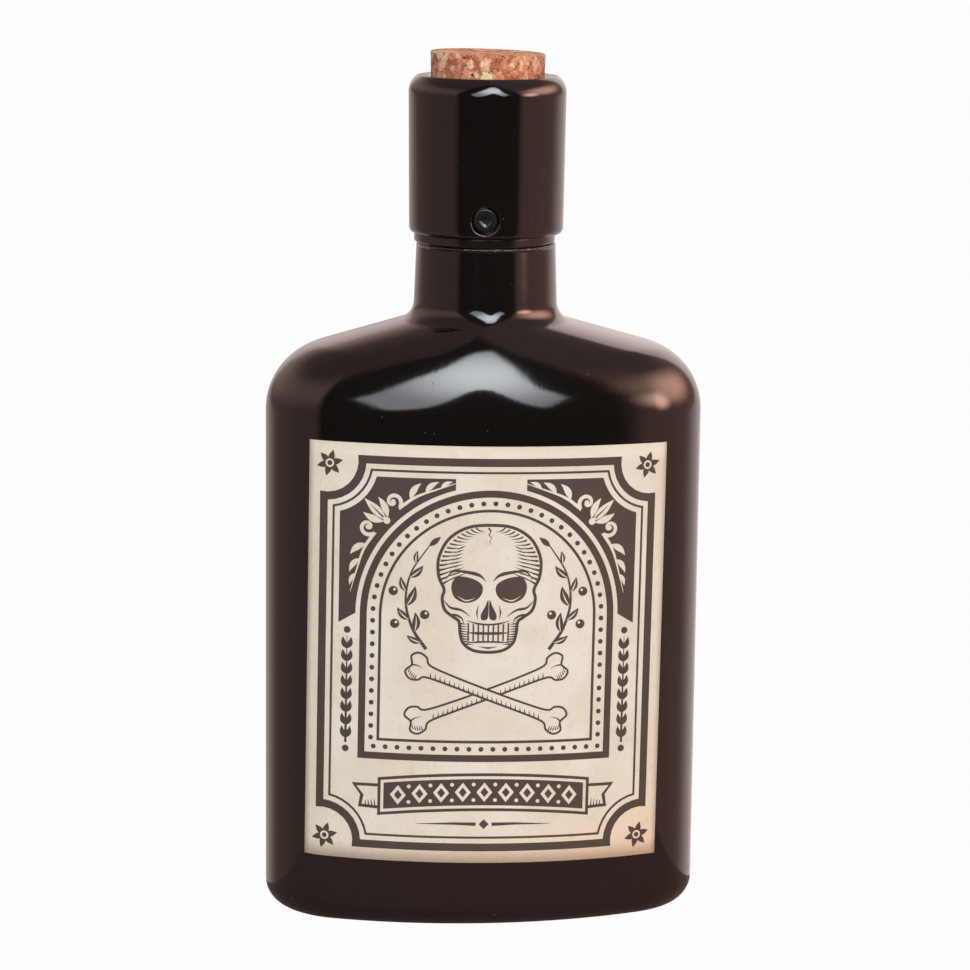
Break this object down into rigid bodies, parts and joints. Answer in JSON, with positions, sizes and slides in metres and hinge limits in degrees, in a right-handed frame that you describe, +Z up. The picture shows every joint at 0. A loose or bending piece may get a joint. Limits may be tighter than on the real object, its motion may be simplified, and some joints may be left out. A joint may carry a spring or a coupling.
{
  "type": "poison bottle",
  "caption": "Glossy black flask bottle with sloping shoulders, a screwed-on neck collar, a cork that pulls out and an aged paper front label.",
  "frame": {"origin": "middle of the base, on the surface it stands on", "axes": "+Z up the neck, -Y out of the labelled front, +X to the right of someone who faces the label"},
  "size_m": [0.088, 0.045, 0.1741],
  "materials": {
    "black_gloss": "glossy black paint on plastic, with a warm brown cast",
    "ring_black": "black plastic under the same paint",
    "screw_black": "blackened steel",
    "cork": "agglomerated cork with coarse granules",
    "label_paper": "aged cream paper printed in dark brown"
  },
  "bodies": {
    "bottle_body": {"bottle": "black_gloss", "neck_ring": "ring_black", "collar": "black_gloss", "collar_screw": "screw_black", "front_label": "label_paper"},
    "stopper": {"cork": "cork"}
  },
  "joints": [
    {"name": "cork_pull", "type": "slide", "parent": "bottle_body", "child": "stopper", "axis": [0, 0, 1], "range_m": [0, 0.03]}
  ]
}
